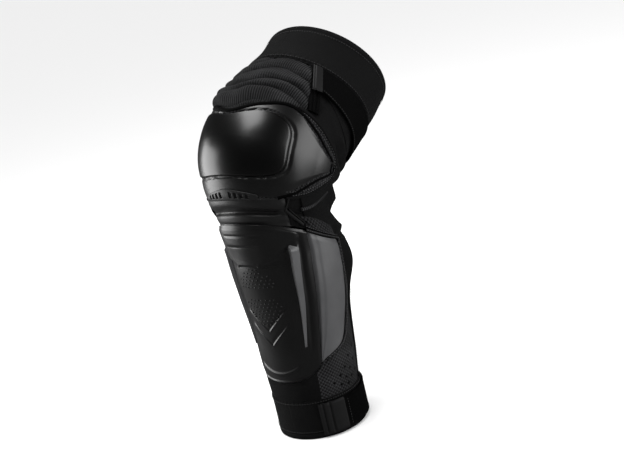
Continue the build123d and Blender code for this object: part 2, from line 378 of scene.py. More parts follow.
class Wiring:
    """Short calls for placing and joining the nodes of one tree."""

    def __init__(self, tree):
        self.tree = tree

    def node(self, kind, **settings):
        made = self.tree.nodes.new(kind)
        for key, value in settings.items():
            setattr(made, key, value)
        return made

    def plug(self, value, socket):
        if isinstance(value, (int, float, tuple)):
            socket.default_value = value
        else:
            self.tree.links.new(value, socket)

    def math(self, operation, *values):
        made = self.node("ShaderNodeMath", operation=operation)
        for value, socket in zip(values, made.inputs):
            self.plug(value, socket)
        return made.outputs[0]

    def noise(self, vector, scale, detail=2.0, roughness=0.5):
        made = self.node("ShaderNodeTexNoise")
        self.plug(vector, made.inputs["Vector"])
        self.plug(scale, made.inputs["Scale"])
        self.plug(detail, made.inputs["Detail"])
        self.plug(roughness, made.inputs["Roughness"])
        return made.outputs[0]

    def remap(self, value, low, high, to_low, to_high):
        made = self.node("ShaderNodeMapRange")
        for socket, given in zip(made.inputs, (value, low, high, to_low, to_high)):
            self.plug(given, socket)
        return made.outputs[0]


def moulded_effect():
    """Moulded plastic: mottled roughness and a fine grain."""
    group, given, made = effect(
        "moulded_grain",
        {"Polish": 0.3, "Spread": 0.15, "Grain": 900.0, "Mottle": 22.0},
        ("Roughness", "Height", "Fade"),
    )
    w = Wiring(group)
    place = w.node("ShaderNodeTexCoord").outputs["Object"]
    cloud = w.noise(place, given.outputs["Mottle"], 3.0, 0.6)
    lift = w.math("MULTIPLY", w.math("SUBTRACT", cloud, 0.5), given.outputs["Spread"])
    w.plug(w.math("ADD", given.outputs["Polish"], lift), made.inputs["Roughness"])
    w.plug(w.noise(place, given.outputs["Grain"], 2.0, 0.5), made.inputs["Height"])
    w.plug(cloud, made.inputs["Fade"])
    return group


def thread_waves(w, given, across, along):
    """The place on the object, and one wave across the cloth's UV and one along it."""
    coords = w.node("ShaderNodeTexCoord")
    split = w.node("ShaderNodeSeparateXYZ")
    w.plug(coords.outputs["UV"], split.inputs[0])
    waves = []
    for axis, count in enumerate((across, along)):
        phase = w.math("MULTIPLY", split.outputs[axis], given.outputs[count])
        waves.append(w.math("SINE", w.math("MULTIPLY", phase, pi)))
    return coords.outputs["Object"], *waves


def weave_effect():
    """Plain weave on the cloth's own UV: raised threads and which way each one runs."""
    group, given, made = effect("plain_weave", {"Threads": 900.0}, ("Height", "Warp", "Fade"))
    w = Wiring(group)
    place, wave_x, wave_y = thread_waves(w, given, "Threads", "Threads")
    product = w.math("MULTIPLY", wave_x, wave_y)
    w.plug(w.math("ABSOLUTE", product), made.inputs["Height"])
    w.plug(w.math("GREATER_THAN", product, 0.0), made.inputs["Warp"])
    w.plug(w.noise(place, 30.0, 4.0, 0.6), made.inputs["Fade"])
    return group


def rib_effect():
    """Vertical rib knit on the cloth's own UV: rounded ribs with small stitches, with painted light and
    shade that makes the crests lighter than the grooves.
    """
    counts = {"Ribs": 620.0, "Courses": 700.0}
    group, given, made = effect("rib_knit", counts, ("Height", "Warp", "Fade"))
    w = Wiring(group)
    place, rib_wave, course_wave = thread_waves(w, given, "Ribs", "Courses")
    rib, course = w.math("ABSOLUTE", rib_wave), w.math("ABSOLUTE", course_wave)
    w.plug(w.math("ADD", rib, w.math("MULTIPLY", course, 0.25)), made.inputs["Height"])
    # Painted light and shade: the rib crests get the light tone, the grooves between them the dark one.
    w.plug(w.math("GREATER_THAN", rib, 0.62), made.inputs["Warp"])
    w.plug(w.noise(place, 26.0, 4.0, 0.6), made.inputs["Fade"])
    return group


MOULDED = moulded_effect()
WEAVE = weave_effect()
RIBS = rib_effect()


def blank(name):
    """A new material, its wiring and its shader."""
    material = bpy.data.materials.new(name)
    material.use_nodes = True
    w = Wiring(material.node_tree)
    return material, w, material.node_tree.nodes["Principled BSDF"]


def grey(level):
    """A neutral colour with the faint cool cast of black moulding."""
    return (level * 0.985, level * 0.99, level * 1.03, 1)


def two_tones(w, shader, factor, dark, light):
    """Base colour that runs from one grey to another by a mask."""
    mix = w.node("ShaderNodeMix", data_type="RGBA")
    w.plug(factor, mix.inputs[0])
    mix.inputs[6].default_value = grey(dark)
    mix.inputs[7].default_value = grey(light)
    w.plug(mix.outputs[2], shader.inputs["Base Color"])


def bump(w, shader, height, distance):
    """Feeds a height into the shader's normal."""
    made = w.node("ShaderNodeBump")
    made.inputs["Distance"].default_value = distance
    w.plug(height, made.inputs["Height"])
    w.plug(made.outputs[0], shader.inputs["Normal"])


def moulded(name, dark, light, polish, spread, grain=900.0, mottle=22.0, depth=0.00004, gleam=0.5):
    """Moulded plastic or rubber."""
    material, w, shader = blank(name)
    grain_node = w.node("ShaderNodeGroup", node_tree=MOULDED)
    for label, value in (("Polish", polish), ("Spread", spread), ("Grain", grain), ("Mottle", mottle)):
        grain_node.inputs[label].default_value = value
    w.plug(grain_node.outputs["Roughness"], shader.inputs["Roughness"])
    two_tones(w, shader, grain_node.outputs["Fade"], dark, light)
    bump(w, shader, grain_node.outputs["Height"], depth)
    shader.inputs["Specular IOR Level"].default_value = gleam
    return material


def cloth(name, group, dark, light, sheen=0.008, rough=0.75, gleam=0.06, depth=0.00025, **values):
    """Woven or knitted fabric whose threads follow the cloth's own UV."""
    material, w, shader = blank(name)
    threads = w.node("ShaderNodeGroup", node_tree=group)
    for label, value in values.items():
        threads.inputs[label].default_value = value
    tone = w.math("ADD", w.math("MULTIPLY", threads.outputs["Warp"], 0.45), threads.outputs["Fade"])
    two_tones(w, shader, w.remap(tone, 0.3, 1.15, 0.0, 1.0), dark, light)
    worn = w.remap(threads.outputs["Fade"], 0.3, 0.7, rough - 0.1, rough + 0.1)
    w.plug(worn, shader.inputs["Roughness"])
    bump(w, shader, threads.outputs["Height"], depth)
    shader.inputs["Specular IOR Level"].default_value = gleam
    shader.inputs["Sheen Weight"].default_value = sheen
    shader.inputs["Sheen Roughness"].default_value = 0.5
    return material


SATIN_SHELL = moulded("satin_shell", 0.0012, 0.0030, 0.34, 0.12)
# Lighter grey plastic of the side wings; on the shin blades the same grey is a painted highlight on their
# facets.
WING_GREY_AND_BLADE_HIGHLIGHT = moulded("wing_shell", 0.030, 0.060, 0.40, 0.22, mottle=26.0)
GLOSS_DOME = moulded("gloss_dome", 0.0002, 0.0004, 0.29, 0.06, grain=400.0, depth=0.00001)
SOFT_RUBBER = moulded("soft_rubber", 0.0025, 0.0050, 0.46, 0.12)
TAB_RUBBER = moulded("tab_rubber", 0.0025, 0.0050, 0.62, 0.14, gleam=0.2)
# Near-black rubber of the trim cords; the same material paints the shade inside the mesh's eyelet holes.
DARK_RUBBER_AND_HOLE_SHADE = moulded("dark_rubber_and_hole_shade", 0.0002, 0.0004, 0.8, 0.1, gleam=0.05)
GREY_FOAM = moulded("grey_foam", 0.020, 0.035, 0.9, 0.1, grain=1500.0, depth=0.0004)
SILICONE = moulded("silicone_print", 0.010, 0.018, 0.45, 0.1)
BALLISTIC = cloth("ballistic_weave", WEAVE, 0.0006, 0.022, Threads=430.0, depth=0.0007)
RIB_KNIT = cloth("rib_knit_cloth", RIBS, 0.0004, 0.024, Ribs=380.0, Courses=300.0, depth=0.0009)
STRETCH = cloth("stretch_cloth", WEAVE, 0.0012, 0.0034, Threads=1500.0, depth=0.00012)
CUFF_CLOTH = cloth("cuff_cloth", WEAVE, 0.0014, 0.0034, Threads=1300.0, depth=0.00012)
MESH_CLOTH = cloth("mesh_cloth", WEAVE, 0.0008, 0.024, Threads=430.0, depth=0.0006)
WEBBING = cloth("elastic_webbing", RIBS, 0.0003, 0.0010, sheen=0.0, gleam=0.04, Ribs=500.0, Courses=900.0)
LINER = cloth("liner_cloth", WEAVE, 0.010, 0.024, Threads=900.0, depth=0.0003)
HOOK_PILE = cloth("hook_pile", WEAVE, 0.001, 0.004, Threads=1100.0, depth=0.0005)
THREAD = moulded("sewing_thread", 0.022, 0.040, 0.6, 0.1, grain=3000.0, depth=0.0001)
DARK_THREAD = moulded("dark_thread", 0.005, 0.010, 0.6, 0.1, grain=3000.0, depth=0.0001)

# ---- stitches and piping


def level_at(out, turn):
    """A level above the leg, which may be given as a function of the turn."""
    return out(turn) if callable(out) else out


def stitch_row(name, edge, out=0.5, pitch=3.2, length=2.3, girth=0.45, material=None):
    """A row of sewing stitches along an edge, each a small rounded bead of thread."""
    steps = 200
    spots = [along_edge(edge, k / steps) for k in range(steps + 1)]
    places = [on_leg(*spot, level_at(out, spot[1])) for spot in spots]
    bm = bmesh.new()
    passed, due = 0.0, pitch * MM / 2
    for k in range(steps):
        run = (places[k + 1] - places[k]).length
        while due <= passed + run:
            t = (due - passed) / run
            height, turn = (a + (b - a) * t for a, b in zip(spots[k], spots[k + 1]))
            spot, _, _, outward = leg_frame(height, turn, level_at(out, turn))
            heading = (places[k + 1] - places[k]).normalized()
            heading = (heading - outward * heading.dot(outward)).normalized()
            across = outward.cross(heading)
            turned = Matrix((across, heading, outward)).transposed().to_4x4()
            size = Matrix.Diagonal((girth * MM, length * MM / 2, girth * MM * 0.8, 1))
            bmesh.ops.create_uvsphere(
                bm, u_segments=6, v_segments=4, radius=1,
                matrix=Matrix.Translation(spot) @ turned @ size,
            )
            due += pitch * MM
        passed += run
    return wall(name, bm, material or THREAD)


def piping(name, edge, width, rise, material, out=0.0, steps=120, sink=1.2):
    """A rounded cord or tape laid on the leg along an edge, width and rise in mm."""
    bm = unit_grid(steps, 8)

    def place(u, v):
        height, turn = along_edge(edge, u)
        near = along_edge(edge, min(u + 0.004, 1.0)), along_edge(edge, max(u - 0.004, 0.0))
        girth = sum(section(height)[1:]) / 2
        d_height = near[0][0] - near[1][0]
        d_across = radians(near[0][1] - near[1][1]) * girth
        size = max(hypot(d_height, d_across), 1e-6)
        offset = (v - 0.5) * width
        crown = rise * sqrt(max(0.0, 1 - (2 * v - 1) ** 2))
        height += offset * d_across / size
        turn -= offset * d_height / size / radians(1) / girth
        return height, turn, level_at(out, turn) - sink * (abs(2 * v - 1) > 0.99) + crown

    lay_on_leg(bm, place)
    return wall(name, bm, material, thickness=0.6)


# ---- shared relief

SIDES = (("lateral", 1), ("medial", -1))


def rolled(share, steep, drop=1.2):
    """How far a rim rolls inwards at both ends of a share from 0 to 1."""
    return -drop * (1 - ease(min(share, 1 - share) * steep))


def line_bump(distance, width=1.3):
    """A soft ridge line's height share at a distance from it in millimetres."""
    return exp(-(distance / width) ** 2)


def rumple(height, turn, size, seed):
    """Slow uneven swelling of worn cloth, from about -1 to 1."""
    return noise.noise(Vector((height / size, turn / size, seed))) * 1.6


def peaks(phase):
    """Sharp-crested folds, as where stiff cloth buckles."""
    return 1 - abs(2 * (phase - floor(phase)) - 1)


def folds(phase):
    """Rounded folds with pinched valleys, 0 in a valley and 1 on a crest."""
    return abs(sin(pi * phase)) ** 0.75


# ---- knee cup

DOME_MIDDLE = 297.0
DOME_HALF_TURN = 60.0
DOME_LOWER_HALF = 20.5
DOME_SQUARE = 4.2

SHELL_LOW = [(268.5, 0), (265.6, 28), (266.0, 54), (277, 79), (293, 103)]
SHELL_HIGH = [(315, 0), (321.5, 28), (326.5, 52), (318.5, 79), (305, 104)]
BASE_LOW = [(263.2, 0), (263.2, 28), (263.4, 56), (270, 86), (291, 111.5)]
BASE_HIGH = [(320, 0), (326, 28), (331, 54), (325, 86), (306, 112.5)]

VENT_TURNS = (3.0, 25.0)
VENT_PITCH = 5.5
VENT_HALF_WIDTH = 2.0


def dome_half(way_up, turn):
    """Half height of the dome: its upper rim rises towards the sides of the knee."""
    return 17.0 + 6.5 * ease(abs(turn) / 44) if way_up > 0 else DOME_LOWER_HALF


def dome_reach(height, turn):
    """0 at the middle of the knee dome, 1 on its outline."""
    rise = abs(height - DOME_MIDDLE) / dome_half(height - DOME_MIDDLE, turn)
    side = abs(turn) / DOME_HALF_TURN
    return (rise ** DOME_SQUARE + side ** DOME_SQUARE) ** (1 / DOME_SQUARE)


def dome_lift(reach, height, turn):
    """Knee dome profile: a steep bevelled side and a swelling middle."""
    return -2.4 + 3.4 * ease((1.0 - reach) / 0.06) + 3.4 * (1 - reach ** 2)


def flare(turn):
    """How far the sides of the knee cup stand off the leg."""
    return 3.4 * ease((abs(turn) - 86) / 22)


def shell_lift(u, v, height, turn):
    """Knee shell relief: a trough round the dome, hollow cheeks and a rolled rim."""
    reach = dome_reach(height, turn)
    trough = -1.5 * exp(-((reach - 1.015) / 0.02) ** 2)
    under_dome = -2.8 * ease((1.0 - reach) / 0.08)
    cheek = -0.6 * ease((abs(turn) - 60) / 26) * ease((104 - abs(turn)) / 20)
    return trough + under_dome + cheek + rolled(u, 14) + rolled(v, 7) + flare(turn)


def base_lift(u, v, height, turn):
    """Padded base: a raised border that dips under the knee shell."""
    inside = ease((height - height_at(SHELL_LOW, turn) - 1) / 3)
    inside *= ease((height_at(SHELL_HIGH, turn) - 1 - height) / 3) * ease((102 - abs(turn)) / 3)
    return -1.2 - 2.8 * inside + rolled(v, 14, 1.6) + rolled(u, 24, 1.6) + flare(turn)


def vent_lift(u, v, height, turn):
    """Flange under the knee shell with a row of sunk slots on each side."""
    along_row = (abs(turn) - VENT_TURNS[0]) / VENT_PITCH
    in_row = VENT_TURNS[0] < abs(turn) < VENT_TURNS[1]
    across_slot = abs(along_row - floor(along_row) - 0.5) * VENT_PITCH * 1.25
    slot = in_row and across_slot < VENT_HALF_WIDTH and abs(v - 0.5) < 0.26
    return -0.2 - 2.2 * slot + 0.9 * sin(pi * v)


def knee_cup():
    dome = shield(DOME_MIDDLE, DOME_HALF_TURN, dome_half, DOME_SQUARE, dome_lift, 110)
    mount(wall("knee_dome_shell", dome, GLOSS_DOME, 1.6), "knee", "gloss_shell", "knee_dome")
    shell = ruled(both_ways(SHELL_LOW), both_ways(SHELL_HIGH), shell_lift, 190, 70)
    shell = wall("knee_cup_shell", shell, SATIN_SHELL, 2.4, 0.8)
    mount(shell, "knee", "matte_shell", "knee_shell")
    low, high = both_ways(BASE_LOW), both_ways(BASE_HIGH)
    base = wall("knee_cup_base", ruled(low, high, base_lift, 190, 70), BALLISTIC, 2.6, 0.6)
    mount(cut(base, low, high), "knee", "ballistic_weave", "knee_carrier")
    flange_low = both_ways([(262.4, 0), (262.3, 15), (262.6, 32)])
    flange_high = both_ways([(269.4, 0), (268.2, 15), (266.2, 32)])
    flange = wall("knee_vent_flange", ruled(flange_low, flange_high, vent_lift, 260, 22), SOFT_RUBBER, 1.2)
    mount(flange, "knee", "matte_shell", "vent_flange")
    pad_low = both_ways([(268, 0), (268, 30), (272, 60), (288, 88)])
    pad_high = both_ways([(316, 0), (321.5, 30), (324, 60), (309, 88)])
    pad = ruled(pad_low, pad_high, lambda u, v, h, t: -7.4 + pad_crown(u, v), 90, 50)
    mount(padding("knee_impact_foam", pad, 8.2), "knee", "foam", "knee_foam_pad")
    soft_liner("knee", pad_low, pad_high, -16.4, (110, 60))


def soft_liner(part, low, high, level, cells):
    """A quilted lining under the foam of the knee or the shin."""
    lining = ruled(low, high, lambda u, v, h, t: level + quilting(h, t), *cells)
    lining = wall(f"{part}_soft_liner", lining, LINER, 1.0, 0.3)
    mount(cut(lining, low, high), part, "liner_fabric", f"{part}_liner")


def pad_crown(u, v):
    """Thinning of a foam pad towards its rims."""
    return rolled(u, 9, 2.4) + rolled(v, 7, 2.4)


def padding(name, bm, thickness):
    """A moulded foam pad with rounded rims."""
    obj = wall(name, bm, GREY_FOAM, thickness, 1.8)
    return obj


def quilting(height, turn, pitch=13.0):
    """Diamond quilting: shallow valleys that cross, and puffed cells between them."""
    girth = turn * 1.2
    one = abs(sin(pi * (height + girth) / pitch / 2))
    other = abs(sin(pi * (height - girth) / pitch / 2))
    return 1.1 * (one * other) ** 0.4 - 1.1


TRIM_LEVEL = -1.4
SHELL_FOOT = [(264.4, 50), (268.6, 66), (275.8, 80), (291.6, 103.4), (298, 104.6), (304, 104.2)]
BASE_UPPER_RIM = [
    (330.5, 56), (330, 66), (327.6, 78), (323.6, 90), (317.6, 101), (309.5, 109), (300, 112.6),
]
BASE_LOWER_RIM = [
    (263.6, 58), (264.6, 68), (267.6, 80), (273.6, 92), (282, 102.6), (291.5, 110), (300, 112.6),
]


def beside_shell(level):
    """A level above the leg that follows the flare of the knee cup."""
    return lambda turn: level + flare(turn)


def knee_trim():
    shell_rim = shifted(both_ways(SHELL_HIGH), 1.3)
    cord = piping("knee_shell_upper_cord", shell_rim, 2.6, 1.3, DARK_RUBBER_AND_HOLE_SHADE, beside_shell(TRIM_LEVEL), 220)
    mount(cord, "knee", "strap_tab")
    for side, sign in SIDES:
        foot = on_side(SHELL_FOOT, sign)
        cord_name = f"knee_shell_lower_cord_{side}"
        cord = piping(cord_name, foot, 2.4, 1.3, DARK_RUBBER_AND_HOLE_SHADE, beside_shell(TRIM_LEVEL))
        mount(cord, "knee", "strap_tab")
        for name, rim, way in (("upper", BASE_UPPER_RIM, -1), ("lower", BASE_LOWER_RIM, 1)):
            edge = on_side(shifted(rim, way), sign)
            tape_name = f"knee_base_piping_{name}_{side}"
            tape = piping(tape_name, edge, 2.8, 1.5, STRETCH, beside_shell(TRIM_LEVEL))
            mount(tape, "knee", "stretch_fabric")
            for row, rise in enumerate((2.9, 5.6)):
                seam = on_side(shifted(rim, way * rise), sign)
                row_name = f"knee_base_stitching_{name}_{side}_{row}"
                mount(stitch_row(row_name, seam, beside_shell(-0.9)), "knee", "ballistic_weave")
        flap = on_side([(256.4, 70), (258.6, 80), (263.0, 90), (270.5, 102), (281, 113)], sign)
        mount(piping(f"knee_base_welt_{side}", flap, 3.4, 2.0, RIB_KNIT, out=-0.6), "knee", "ribbed_knit")


knee_cup()
knee_trim()

# ---- shin plate

PLATE_FOOT = [(70, 0), (71, 20), (75, 38), (86, 53)]
SHIN_PLATE_LOW = both_ways(PLATE_FOOT)
SHIN_PLATE_HIGH = both_ways([(247, 0), (246.5, 22), (244, 45), (238, 69.5)])
RIDGE_FOOT = (112.0, 39.5)
RIDGE_HEAD = (229.0, 52.0)
CHEVRONS = (133.0, 116.0)
CHEVRON_SLOPE = 0.95
SMILE_HEIGHT = 82.0
SMILE_BEND = 0.011


def shin_lift(u, v, height, turn):
    """Shin plate relief: valleys beside the blades, chevron and smile lines, rolled rim."""
    side = abs(turn)
    up_ridge = (height - RIDGE_FOOT[0]) / (RIDGE_HEAD[0] - RIDGE_FOOT[0])
    blade = RIDGE_FOOT[1] + (RIDGE_HEAD[1] - RIDGE_FOOT[1]) * up_ridge
    tall = ease((height - 96) / 40) * ease((240 - height) / 14)
    valley = -2.2 * tall * exp(-((side - blade + 12) / 8) ** 2)
    gutter = -1.8 * tall * exp(-((side - blade - 7) / 2.4) ** 2)
    lines = 0.0
    for foot in CHEVRONS:
        crest = foot + CHEVRON_SLOPE * side
        lines += 1.2 * line_bump(height - crest) * ease((30 - side) / 8)
        hollow = ease((crest - height) / 9 + 1) * ease((height - crest) / 2 + 1)
        lines -= 0.9 * hollow * ease((26 - side) / 10)
    smile = SMILE_HEIGHT + SMILE_BEND * side ** 2
    lines += 1.2 * line_bump(height - smile) * ease((32 - side) / 8)
    brim = 1.3 * line_bump(height - height_at(PLATE_FOOT, turn) - 1.6, 1.2) * ease((36 - side) / 10)
    return valley + gutter + lines + brim + rolled(u, 30, 0.5) + rolled(v, 60, 1.4)


def cap_lift(u, v, height, turn):
    """Raised cap at the top of the shin, standing proud in front and fading sideways."""
    proud = 3.4 * (1 - ease((abs(turn) - 18) / 34))
    front = 1 - ease((abs(turn) - 10) / 16)
    lines = line_bump(height - 238.5, 0.8) + line_bump(height - 230.6, 0.8)
    lower_step = -1.0 * ease((231 - height) / 1.6)
    sunk = -3.4 * (1 - ease((height - 206 - 0.35 * abs(turn)) / 7)) * ease((abs(turn) - 12) / 10)
    top = rolled(min(v, 0.5), 9, 1.6) if abs(turn) < 12 else 0.0
    rear = -1.2 * ease((abs(turn) - 56) / 6)
    rim = top + sunk + rolled(max(v, 0.5), 9, 1.6) + rear
    return 0.5 + proud + (lower_step - 0.9 * lines) * front + rim


def blade_lift(u, v, height, turn):
    """A blade ridge: a sharp crest on its front side and a long facet behind it."""
    peak = 1.2 + 3.6 * v ** 0.8
    front = ease(u / 0.16)
    end = ease((1 - v) / 0.05)
    return -0.9 + front * end * (peak + 0.9) * (1 - 0.8 * max(0.0, (u - 0.16) / 0.84))


STUD_PITCH = 4.3
STUD_TURN = 5.2
STUD_RADIUS = 0.95
STUD_RISE = 0.75
STUD_CLUSTERS = (
    (188.0, (22, 25, 22, 19, 14, 10, 7, 4)),
    (142.0, (9, 14, 18, 22, 25, 25, 22, 18)),
)


def shin_studs():
    """Two clusters of small raised studs down the middle of the shin."""
    rng = random.Random(7)
    bm = bmesh.new()
    size = Matrix.Diagonal((STUD_RADIUS * MM, STUD_RADIUS * MM, STUD_RISE * MM, 1))
    for bottom, half_turns in STUD_CLUSTERS:
        for row, half in enumerate(half_turns):
            count = int(half / STUD_TURN)
            for k in range(-count, count + 1):
                turn = (k + 0.5 * (row % 2)) * STUD_TURN + rng.uniform(-0.4, 0.4)
                height = bottom + row * STUD_PITCH + rng.uniform(-0.3, 0.3)
                spot, sideways, upward, outward = leg_frame(height, turn, 0.05)
                turned = Matrix((sideways, upward, outward)).transposed().to_4x4()
                place = Matrix.Translation(spot) @ turned @ size
                bmesh.ops.create_uvsphere(bm, u_segments=8, v_segments=6, radius=1, matrix=place)
    mount(wall("shin_grip_studs", bm, SATIN_SHELL), "shin", "matte_shell")


def shin_plate():
    plate = ruled(SHIN_PLATE_LOW, SHIN_PLATE_HIGH, shin_lift, 150, 210)
    mount(wall("shin_plate_shell", plate, SATIN_SHELL, 3.0, 0.8), "shin", "matte_shell", "shin_shell")
    cap_low = both_ways([(213, 0), (212, 22), (209, 42), (206, 62)])
    cap_high = both_ways([(246.4, 0), (246, 22), (243.5, 44), (238.5, 65)])
    cap = ruled(cap_low, cap_high, cap_lift, 120, 80)
    mount(wall("shin_top_cap", cap, SATIN_SHELL, 1.6, 0.5), "shin", "matte_shell", "shin_cap")
    for side, sign in SIDES:
        foot = on_side([(112, 38.2), (112, 41.4)], sign)
        head = on_side([(RIDGE_HEAD[0], 46.5), (RIDGE_HEAD[0] - 2, 57)], sign)
        # Painted highlight: the blade takes the wings' lighter grey to light up its facet.
        blade = wall(f"shin_blade_highlight_{side}", ruled(foot, head, blade_lift, 24, 120), WING_GREY_AND_BLADE_HIGHLIGHT, 1.0)
        mount(blade, "shin", "wing_shell", f"shin_ridge_{side}")
    pad_low = both_ways([(77, 0), (79, 20), (84, 36), (93, 50)])
    pad_high = both_ways([(243, 0), (242, 22), (239, 44), (233, 65)])

    def pad_lift(u, v, height, turn):
        channel = line_bump((height - 86) % 26 - 13, 2.2)
        return -4.2 + pad_crown(u, v) - 1.8 * channel * ease((40 - abs(turn)) / 8)

    pad = ruled(pad_low, pad_high, pad_lift, 70, 130)
    mount(padding("shin_impact_foam", pad, 7.0), "shin", "foam", "shin_foam_pad")
    soft_liner("shin", pad_low, pad_high, -13.4, (80, 120))


shin_plate()
shin_studs()

# ---- shin wings

WING_FRONT = [(89, 53.6), (126, 58.8), (163, 63.0), (199, 67.4), (236, 70.4)]
WING_REAR = [(93, 60), (106, 87), (138, 101), (178, 107.5), (214, 109)]


def wing_lift(u, v, height, turn):
    """Wing relief: tucked under the plate, softly rippled, with a rolled rear rim."""
    tuck = -2.4 * (1 - ease(v * 12))
    facet = -0.9 * (1 - ease((v - 0.16) / 0.1))
    return tuck + facet + 0.8 * rumple(height, turn, 34, 3.1) + rolled(v, 16, 0.9) + rolled(u, 22, 0.9)


def strip_lift(u, v, height, turn):
    """A flat sewn strip with rounded sides."""
    return -0.6 + 1.1 * sin(pi * v) ** 0.5


def shin_wings():
    for side, sign in SIDES:
        wing = ruled(on_side(WING_FRONT, sign), on_side(WING_REAR, sign), wing_lift, 110, 60)
        wing = wall(f"shin_wing_shell_{side}", wing, WING_GREY_AND_BLADE_HIGHLIGHT, 2.4, 0.7)
        mount(wing, "shin", "wing_shell", f"shin_wing_{side}")
        strip_front = on_side(shifted(WING_REAR, 0, 0.4), sign)
        strip_rear = on_side(shifted(WING_REAR, 0, 6.0), sign)
        strip = ruled(strip_front, strip_rear, strip_lift, 110, 10)
        strip = wall(f"wing_edge_tape_{side}", strip, MESH_CLOTH, 1.6)
        mount(strip, "shin", "ballistic_weave", f"wing_binding_{side}")
        seam = on_side(shifted(WING_REAR, 0, 3.0), sign)
        mount(stitch_row(f"wing_edge_stitching_{side}", seam, out=0.6), "shin", "ballistic_weave")
        top = on_side([(238.5, 69.5), (231, 84), (223, 98), (215.5, 110)], sign)
        mount(piping(f"wing_top_piping_{side}", top, 3.2, 1.8, TAB_RUBBER, out=-0.4), "shin", "strap_tab")
        for row, rise in enumerate((0.0, 3.6)):
            seam = on_side(shifted([(238.5, 70), (231, 84), (223, 98), (216, 109)], rise), sign)
            mount(
                stitch_row(f"wing_top_stitching_{side}_{row}", seam, out=1.3 - 0.5 * row),
                "shin",
                "ballistic_weave",
            )
        foam_front = on_side(shifted(WING_FRONT, 0, 3.0), sign)
        foam_rear = on_side(shifted(WING_REAR, 0, -3.0), sign)
        foam = ruled(foam_front, foam_rear, lambda u, v, h, t: -3.8 + pad_crown(u, v) * 0.5, 80, 40)
        mount(padding(f"wing_foam_{side}", foam, 4.4), "shin", "foam", f"wing_foam_pad_{side}")


shin_wings()

# ---- calf textile

CUFF_TOP = 46.0
MESH_HIGH = [(82, 46), (91, 60), (102, 82), (119, 97), (150, 110)]
EYELETS = (
    (60, 66), (66, 76), (73, 85), (61, 85), (55, 76), (84, 93), (68, 95), (76, 103),
    (58, 97), (52, 88), (92, 104), (62, 108), (84, 111),
)
EYELET_SIZE = 2.0
EYELET_RADIUS = 2.5
EYELET_DEPTH = 0.8


def mesh_swell(height, turn):
    """Uneven swelling of the mesh flank in millimetres."""
    return 0.6 * rumple(height, turn, 24, 5.0)


def eyelet_dip(height, turn):
    """How deep the mesh is pressed in at an eyelet, from 0 to 1."""
    depth = 0.0
    for middle, at in EYELETS:
        away = abs(height - middle) + abs(turn - at)
        depth = max(depth, ease(1.3 - away / EYELET_SIZE / 1.3))
    return depth


def calf_mesh(side, sign):
    """Mesh flank with diamond eyelets between the cuff, the wing and the back; each eyelet's hole is a
    near-black diamond of painted shade.
    """
    low = on_side([(CUFF_TOP, turn) for turn in (46, 62, 80, 98, 116)], sign)
    high = on_side(MESH_HIGH, sign)

    def mesh_lift(u, v, height, turn):
        sewn = -1.6 * ease((v - 0.90) / 0.07)
        return -0.5 - eyelet_dip(height, abs(turn)) + mesh_swell(height, turn) + sewn

    cloth_piece = wall(f"calf_mesh_{side}", ruled(low, high, mesh_lift, 120, 90), MESH_CLOTH, 1.6)
    mount(cut(cloth_piece, low, high), "shin", "mesh_fabric", f"mesh_panel_{side}")
    # Painted shade: a near-black diamond in each eyelet stands for the shade inside its hole.
    bm = bmesh.new()
    for middle, at in EYELETS:
        spot, sideways, upward, outward = leg_frame(middle, at * sign, -1.5)
        turned = Matrix((sideways, upward, outward)).transposed().to_4x4()
        size = Matrix.Diagonal((EYELET_RADIUS * MM, EYELET_RADIUS * MM, EYELET_DEPTH * MM, 1))
        place = Matrix.Translation(spot + outward * mesh_swell(middle, at * sign) * MM)
        bmesh.ops.create_uvsphere(bm, u_segments=4, v_segments=4, radius=1, matrix=place @ turned @ size)
    mount(wall(f"calf_eyelets_{side}", bm, DARK_RUBBER_AND_HOLE_SHADE), "shin", "mesh_fabric")


def calf_rear():
    """Stretch panel round the calf: a swelling under the knee, creases and a back seam."""
    low = round_the_back([(CUFF_TOP, turn) for turn in (110, 137, 158, 180)])
    high = round_the_back([(221, 103), (213, 137), (213.4, 158), (214.4, 180)])

    def rear_lift(u, v, height, turn):
        away = abs(turn - 180)
        flank = ease((70 - away) / 12)
        swell = (2.0 + 7.0 * ease(away / 60)) * exp(-((height - 186) / 23) ** 2) * flank
        crease = 1.3 * folds(height / 44 + 0.5 * rumple(height, turn, 60, 8.0)) * ease((62 - away) / 20)
        hollow = -2.4 * exp(-((height - 80) / 26) ** 2) * flank * ease(away / 60)
        seam = -1.4 * line_bump(away * 0.95, 1.1)
        tuck = -2.4 * ease((away - 66) / 5) - 1.2 * ease((v - 0.97) / 0.02)
        return -0.6 + swell + crease + hollow + seam + tuck

    rear = wall("calf_back_cloth", ruled(low, high, rear_lift, 150, 150), STRETCH, 1.6)
    mount(cut(rear, low, high, spare=CALF_SPARE), "shin", "stretch_fabric", "calf_rear_panel")
    for side, sign in SIDES:
        welt = on_side([(48, 117), (90, 116), (130, 115.6), (175, 116), (212, 116)], sign)
        mount(piping(f"calf_side_welt_{side}", welt, 2.6, 1.5, STRETCH, out=-0.4), "shin", "stretch_fabric")
        seam = shifted(welt, 0, 3.4 * sign)
        row = stitch_row(f"calf_side_stitching_{side}", seam, out=1.4, material=DARK_THREAD)
        mount(row, "shin", "stretch_fabric")


def calf_front():
    """Smooth stretch cloth between the calf cuff and the shin plate."""
    low = both_ways([(CUFF_TOP, turn) for turn in (0, 18, 33, 46.4)])
    high = both_ways([(72, 0), (73, 18), (76, 33), (81, 46.4)])

    def front_lift(u, v, height, turn):
        return -1.2 + 1.0 * sin(pi * min(v * 1.2, 1)) + 0.5 * rumple(height, turn, 30, 1.0)

    front = wall("calf_front_cloth", ruled(low, high, front_lift, 110, 40), STRETCH, 1.2)
    mount(cut(front, low, high), "shin", "stretch_fabric", "lower_shin_panel")


for side, sign in SIDES:
    calf_mesh(side, sign)
calf_rear()
calf_front()

# ---- calf cuff and strap


